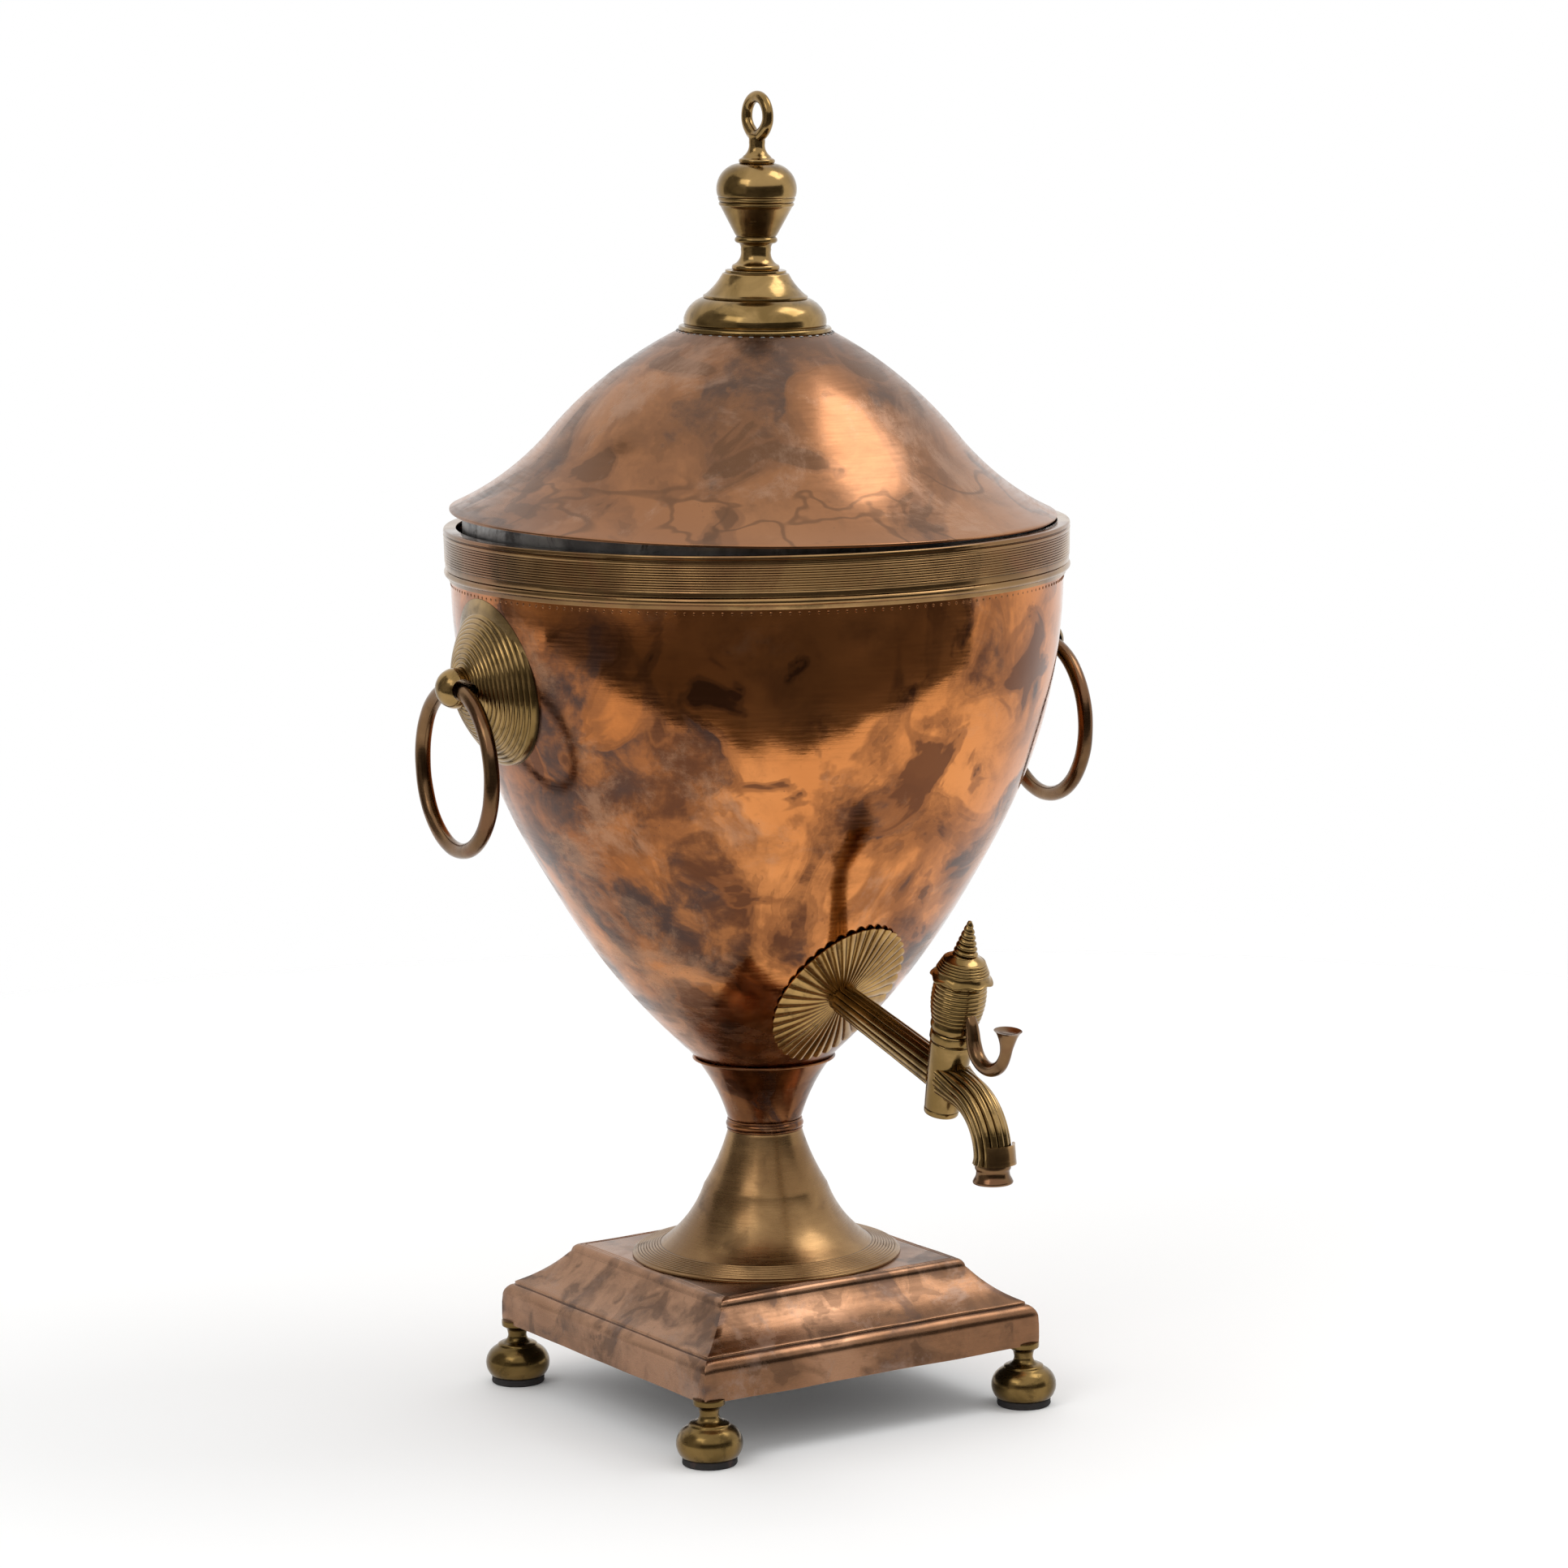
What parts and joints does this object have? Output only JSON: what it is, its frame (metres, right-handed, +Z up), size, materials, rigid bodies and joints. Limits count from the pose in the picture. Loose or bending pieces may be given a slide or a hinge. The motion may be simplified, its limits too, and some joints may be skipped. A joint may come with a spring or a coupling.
{
  "type": "samovar",
  "caption": "Vase-shaped tea urn on a square plinth with bun feet, a fluted tap with a turning key, two swinging ring handles and a domed lid.",
  "frame": {"origin": "on the floor under the middle of the bowl, at the level of the undersides of the feet's pads", "axes": "+Z up; the tap points to -Y, so -Y is the front; the ring handles stand on +X and -X"},
  "size_m": [0.2886, 0.3098, 0.5401],
  "materials": {
    "copper": "polished copper sheet with brown tarnish",
    "dark_copper": "copper sheet with darker brown patina",
    "brass": "old cast brass, olive gold, dark in the grooves",
    "worn_brass": "turned brass with brown patina",
    "tin": "dull grey tinning",
    "iron": "dark iron",
    "steel": "plain steel hardware",
    "felt": "black felt",
    "leather": "dark leather washer"
  },
  "bodies": {
    "urn": {"foot_front_left": "brass", "pad_front_left": "felt", "foot_front_right": "brass", "pad_front_right": "felt", "foot_back_left": "brass", "pad_back_left": "felt", "foot_back_right": "brass", "pad_back_right": "felt", "plinth_shell": "dark_copper", "plinth_base_plate": "iron", "foot_nuts": "steel", "stem_lower": "worn_brass", "stem_collar": "brass", "stem_upper": "copper", "stem_tie_rod": "iron", "tie_washer": "steel", "tie_nut": "steel", "bowl": "copper", "rim_band": "worn_brass", "handle_boss_left": "brass", "handle_boss_right": "brass", "boss_nuts": "brass", "heater_sleeve": "tin", "tap_barrel": "brass", "tap_shank": "brass", "tap_rosette": "brass", "tap_socket": "brass", "tap_washer": "leather", "tap_backnut": "brass", "tap_strainer": "tin", "tap_spout": "brass", "spout_nozzle": "worn_brass"},
    "lid": {"lid_dome": "copper", "lid_spigot": "tin", "lid_collar_lower": "brass", "lid_collar_upper": "brass", "finial_knob": "brass", "finial_loop": "brass", "finial_washer": "brass", "finial_nut": "brass"},
    "ring_left_body": {"ring_left": "worn_brass"},
    "ring_right_body": {"ring_right": "worn_brass"},
    "tap_key": {"key_plug": "brass", "key_head": "brass", "key_cap": "brass", "key_lever": "worn_brass", "key_washer": "brass", "key_screw": "brass"},
    "sleeve_cover": {"sleeve_cover_plate": "copper", "sleeve_cover_knob": "brass"},
    "heater": {"heater_iron": "iron", "heater_eye": "iron"}
  },
  "joints": [
    {"name": "lid_lift", "type": "slide", "parent": "urn", "child": "lid", "axis": [0, 0, 1], "range_m": [0, 0.15]},
    {"name": "ring_left_swing", "type": "hinge", "parent": "urn", "child": "ring_left_body", "pos_m": [-0.13635, 0.01049, 0.3076], "axis": [0.0767, 0.9971, 0], "range_deg": [-10, 95]},
    {"name": "ring_right_swing", "type": "hinge", "parent": "urn", "child": "ring_right_body", "pos_m": [0.13635, -0.01049, 0.3076], "axis": [-0.0767, -0.9971, 0], "range_deg": [-10, 95]},
    {"name": "tap_key_turn", "type": "hinge", "parent": "urn", "child": "tap_key", "pos_m": [0, -0.134, 0.1577], "axis": [0, -0.2588, 0.9659], "range_deg": [0, 90]},
    {"name": "sleeve_cover_lift", "type": "slide", "parent": "urn", "child": "sleeve_cover", "axis": [0, 0, 1], "range_m": [0, 0.06]},
    {"name": "heater_iron_lift", "type": "slide", "parent": "urn", "child": "heater", "axis": [0, 0, 1], "range_m": [0, 0.02]}
  ]
}
